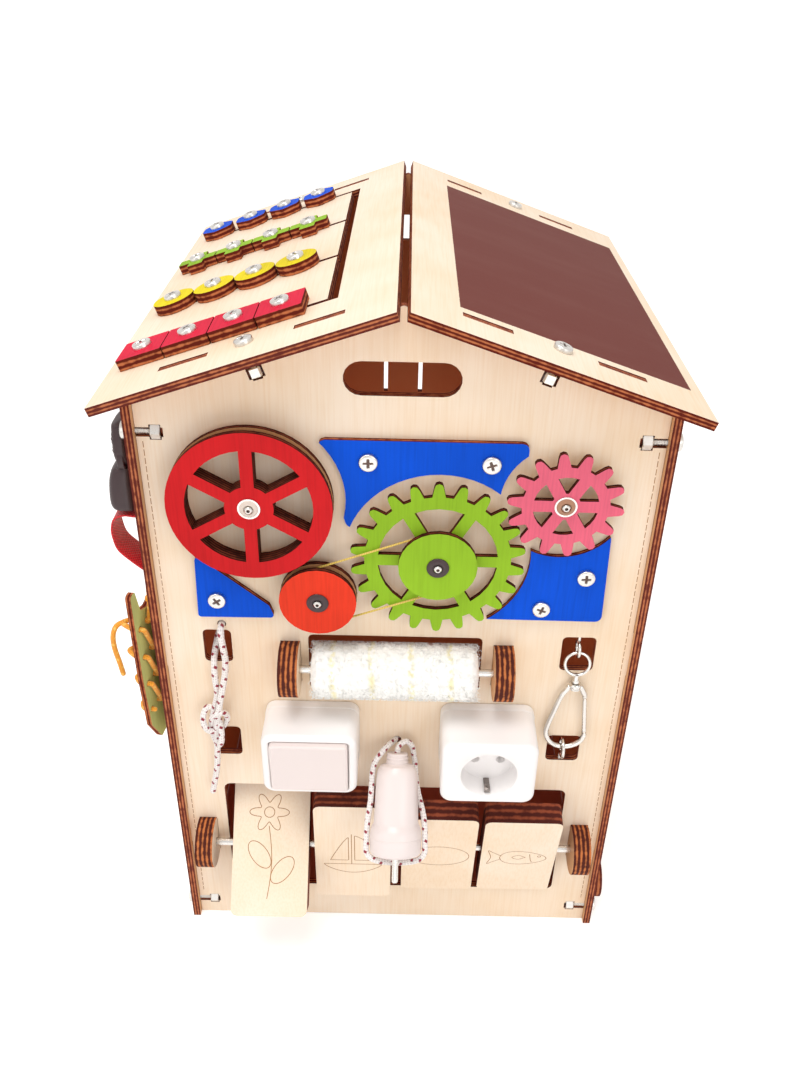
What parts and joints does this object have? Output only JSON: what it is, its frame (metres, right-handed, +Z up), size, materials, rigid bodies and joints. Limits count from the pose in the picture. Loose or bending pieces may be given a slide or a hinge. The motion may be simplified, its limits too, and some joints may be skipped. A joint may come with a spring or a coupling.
{
  "type": "activity house",
  "caption": "Plywood toy house with wheels, meshed gears, roller, turning blocks, sliding roof shapes, switch, socket and snap hook.",
  "frame": {"origin": "on the floor, in the middle of the house's box in X and Y, the loose cords and the plug left out", "axes": "+Z up, +X to the right as seen from the front, -Y out of the front panel"},
  "size_m": [0.398, 0.4536, 0.5626],
  "materials": {
    "birch_plywood": "sanded, bare, with burnt cut edges",
    "red_paint": "matt paint on plywood",
    "orange_red_paint": "matt paint on plywood",
    "green_paint": "matt paint on plywood",
    "pink_paint": "matt paint on plywood",
    "blue_paint": "matt paint on plywood",
    "yellow_paint": "matt paint on plywood",
    "olive_paint": "matt paint on plywood",
    "zinc_plated_steel": "bright zinc plate",
    "white_fleece": "short pile",
    "white_plastic": "glossy moulding",
    "black_plastic": "satin moulding",
    "flecked_cord": "braided, with dark red flecks",
    "red_webbing": "woven",
    "orange_lace": "woven",
    "yellow_elastic": "matt"
  },
  "bodies": {
    "house": {"front_panel": "birch_plywood", "rear_panel": "birch_plywood", "left_wall": "birch_plywood", "right_wall": "birch_plywood", "roof_left": "birch_plywood", "roof_right": "birch_plywood", "large_wheel_axle": "zinc_plated_steel", "small_pulley_axle": "zinc_plated_steel", "green_gear_axle": "zinc_plated_steel", "pink_gear_axle": "zinc_plated_steel", "drive_band": "yellow_elastic", "plate_top": "blue_paint", "plate_left": "blue_paint", "plate_right": "blue_paint", "roller_axle": "zinc_plated_steel", "roller_cheek_left": "birch_plywood", "roller_cheek_right": "birch_plywood", "block_axle": "zinc_plated_steel", "block_cheek_left": "birch_plywood", "block_cheek_right": "birch_plywood", "switch_box": "white_plastic", "socket_box": "white_plastic", "plug": "white_plastic", "plug_cord": "flecked_cord", "rope": "flecked_cord", "lower_screw_eye": "zinc_plated_steel", "hook_swivel": "zinc_plated_steel", "strap": "red_webbing", "buckle": "black_plastic", "lacing_board": "olive_paint", "lace": "orange_lace"},
    "square_1": {"square_slider_1": "red_paint"},
    "square_2": {"square_slider_2": "red_paint"},
    "square_3": {"square_slider_3": "red_paint"},
    "square_4": {"square_slider_4": "red_paint"},
    "disc_1": {"disc_slider_1": "yellow_paint"},
    "disc_2": {"disc_slider_2": "yellow_paint"},
    "disc_3": {"disc_slider_3": "yellow_paint"},
    "disc_4": {"disc_slider_4": "yellow_paint"},
    "cross_1": {"cross_slider_1": "green_paint"},
    "cross_2": {"cross_slider_2": "green_paint"},
    "cross_3": {"cross_slider_3": "green_paint"},
    "cross_4": {"cross_slider_4": "green_paint"},
    "hexagon_1": {"hexagon_slider_1": "blue_paint"},
    "hexagon_2": {"hexagon_slider_2": "blue_paint"},
    "hexagon_3": {"hexagon_slider_3": "blue_paint"},
    "hexagon_4": {"hexagon_slider_4": "blue_paint"},
    "wheel": {"large_wheel": "red_paint"},
    "pulley": {"small_pulley": "orange_red_paint"},
    "green": {"green_gear": "green_paint"},
    "pink": {"pink_gear": "pink_paint"},
    "roller": {"roller_sleeve": "white_fleece"},
    "block_1": {"picture_block_1": "birch_plywood"},
    "block_2": {"picture_block_2": "birch_plywood"},
    "block_3": {"picture_block_3": "birch_plywood"},
    "block_4": {"picture_block_4": "birch_plywood"},
    "rocker": {"switch_rocker": "white_plastic"},
    "hook": {"hook_body": "zinc_plated_steel"},
    "gate": {"hook_gate": "zinc_plated_steel"},
    "knob": {"disc_knob": "birch_plywood"}
  },
  "joints": [
    {"name": "square_1_slide", "type": "slide", "parent": "house", "child": "square_1", "axis": [0.9455, 0, 0.3256], "range_m": [0, 0.031]},
    {"name": "square_2_slide", "type": "slide", "parent": "house", "child": "square_2", "axis": [0.9455, 0, 0.3256], "range_m": [0, 0.031]},
    {"name": "square_3_slide", "type": "slide", "parent": "house", "child": "square_3", "axis": [0.9455, 0, 0.3256], "range_m": [0, 0.031]},
    {"name": "square_4_slide", "type": "slide", "parent": "house", "child": "square_4", "axis": [0.9455, 0, 0.3256], "range_m": [0, 0.031]},
    {"name": "disc_1_slide", "type": "slide", "parent": "house", "child": "disc_1", "axis": [0.9455, 0, 0.3256], "range_m": [0, 0.031]},
    {"name": "disc_2_slide", "type": "slide", "parent": "house", "child": "disc_2", "axis": [0.9455, 0, 0.3256], "range_m": [0, 0.031]},
    {"name": "disc_3_slide", "type": "slide", "parent": "house", "child": "disc_3", "axis": [0.9455, 0, 0.3256], "range_m": [0, 0.031]},
    {"name": "disc_4_slide", "type": "slide", "parent": "house", "child": "disc_4", "axis": [0.9455, 0, 0.3256], "range_m": [0, 0.031]},
    {"name": "cross_1_slide", "type": "slide", "parent": "house", "child": "cross_1", "axis": [0.9455, 0, 0.3256], "range_m": [0, 0.031]},
    {"name": "cross_2_slide", "type": "slide", "parent": "house", "child": "cross_2", "axis": [0.9455, 0, 0.3256], "range_m": [0, 0.031]},
    {"name": "cross_3_slide", "type": "slide", "parent": "house", "child": "cross_3", "axis": [0.9455, 0, 0.3256], "range_m": [0, 0.031]},
    {"name": "cross_4_slide", "type": "slide", "parent": "house", "child": "cross_4", "axis": [0.9455, 0, 0.3256], "range_m": [0, 0.031]},
    {"name": "hexagon_1_slide", "type": "slide", "parent": "house", "child": "hexagon_1", "axis": [0.9455, 0, 0.3256], "range_m": [0, 0.031]},
    {"name": "hexagon_2_slide", "type": "slide", "parent": "house", "child": "hexagon_2", "axis": [0.9455, 0, 0.3256], "range_m": [0, 0.031]},
    {"name": "hexagon_3_slide", "type": "slide", "parent": "house", "child": "hexagon_3", "axis": [0.9455, 0, 0.3256], "range_m": [0, 0.031]},
    {"name": "hexagon_4_slide", "type": "slide", "parent": "house", "child": "hexagon_4", "axis": [0.9455, 0, 0.3256], "range_m": [0, 0.031]},
    {"name": "wheel_spin", "type": "hinge", "parent": "house", "child": "wheel", "pos_m": [-0.0972, -0.17353, 0.4265], "axis": [0, -1, 0], "continuous": true},
    {"name": "green_spin", "type": "hinge", "parent": "house", "child": "green", "pos_m": [0.026, -0.17353, 0.384], "axis": [0, -1, 0], "continuous": true},
    {"name": "pink_spin", "type": "hinge", "parent": "house", "child": "pink", "pos_m": [0.10765, -0.17353, 0.42852], "axis": [0, -1, 0], "continuous": true},
    {"name": "pulley_spin", "type": "hinge", "parent": "house", "child": "pulley", "pos_m": [-0.055, -0.17353, 0.353], "axis": [0, -1, 0], "continuous": true},
    {"name": "roller_spin", "type": "hinge", "parent": "house", "child": "roller", "pos_m": [-0.0015, -0.17103, 0.287], "axis": [1, 0, 0], "continuous": true},
    {"name": "block_1_turn", "type": "hinge", "parent": "house", "child": "block_1", "pos_m": [-0.1, -0.17103, 0.101], "axis": [1, 0, 0], "continuous": true},
    {"name": "block_2_turn", "type": "hinge", "parent": "house", "child": "block_2", "pos_m": [-0.033, -0.17103, 0.101], "axis": [1, 0, 0], "range_deg": [-110, 5]},
    {"name": "block_3_turn", "type": "hinge", "parent": "house", "child": "block_3", "pos_m": [0.037, -0.17103, 0.101], "axis": [1, 0, 0], "range_deg": [-120, 1]},
    {"name": "block_4_turn", "type": "hinge", "parent": "house", "child": "block_4", "pos_m": [0.1025, -0.17103, 0.101], "axis": [1, 0, 0], "continuous": true},
    {"name": "rocker_tilt", "type": "hinge", "parent": "house", "child": "rocker", "pos_m": [-0.063, -0.20133, 0.2205], "axis": [1, 0, 0], "range_deg": [-6, 0]},
    {"name": "hook_turn", "type": "hinge", "parent": "house", "child": "hook", "pos_m": [0.1315, -0.16723, 0.27375], "axis": [0, 0, 1], "range_deg": [-6, 6]},
    {"name": "gate_swing", "type": "hinge", "parent": "hook", "child": "gate", "pos_m": [0.1398, -0.16693, 0.26215], "axis": [0, 0.9997, 0.0262], "range_deg": [0, 30], "stiffness_Nm_per_rad": 0.02},
    {"name": "knob_spin", "type": "hinge", "parent": "house", "child": "knob", "pos_m": [0.1745, -0.13928, 0.03], "axis": [1, 0, 0], "continuous": true}
  ],
  "couplings": [
    {"joint": "square_2_slide", "follows": "square_1_slide", "ratio": 1},
    {"joint": "square_3_slide", "follows": "square_1_slide", "ratio": 1},
    {"joint": "square_4_slide", "follows": "square_1_slide", "ratio": 1},
    {"joint": "disc_2_slide", "follows": "disc_1_slide", "ratio": 1},
    {"joint": "disc_3_slide", "follows": "disc_1_slide", "ratio": 1},
    {"joint": "disc_4_slide", "follows": "disc_1_slide", "ratio": 1},
    {"joint": "cross_2_slide", "follows": "cross_1_slide", "ratio": 1},
    {"joint": "cross_3_slide", "follows": "cross_1_slide", "ratio": 1},
    {"joint": "cross_4_slide", "follows": "cross_1_slide", "ratio": 1},
    {"joint": "hexagon_2_slide", "follows": "hexagon_1_slide", "ratio": 1},
    {"joint": "hexagon_3_slide", "follows": "hexagon_1_slide", "ratio": 1},
    {"joint": "hexagon_4_slide", "follows": "hexagon_1_slide", "ratio": 1},
    {"joint": "pink_spin", "follows": "green_spin", "ratio": -1.5714},
    {"joint": "pulley_spin", "follows": "green_spin", "ratio": 1}
  ]
}
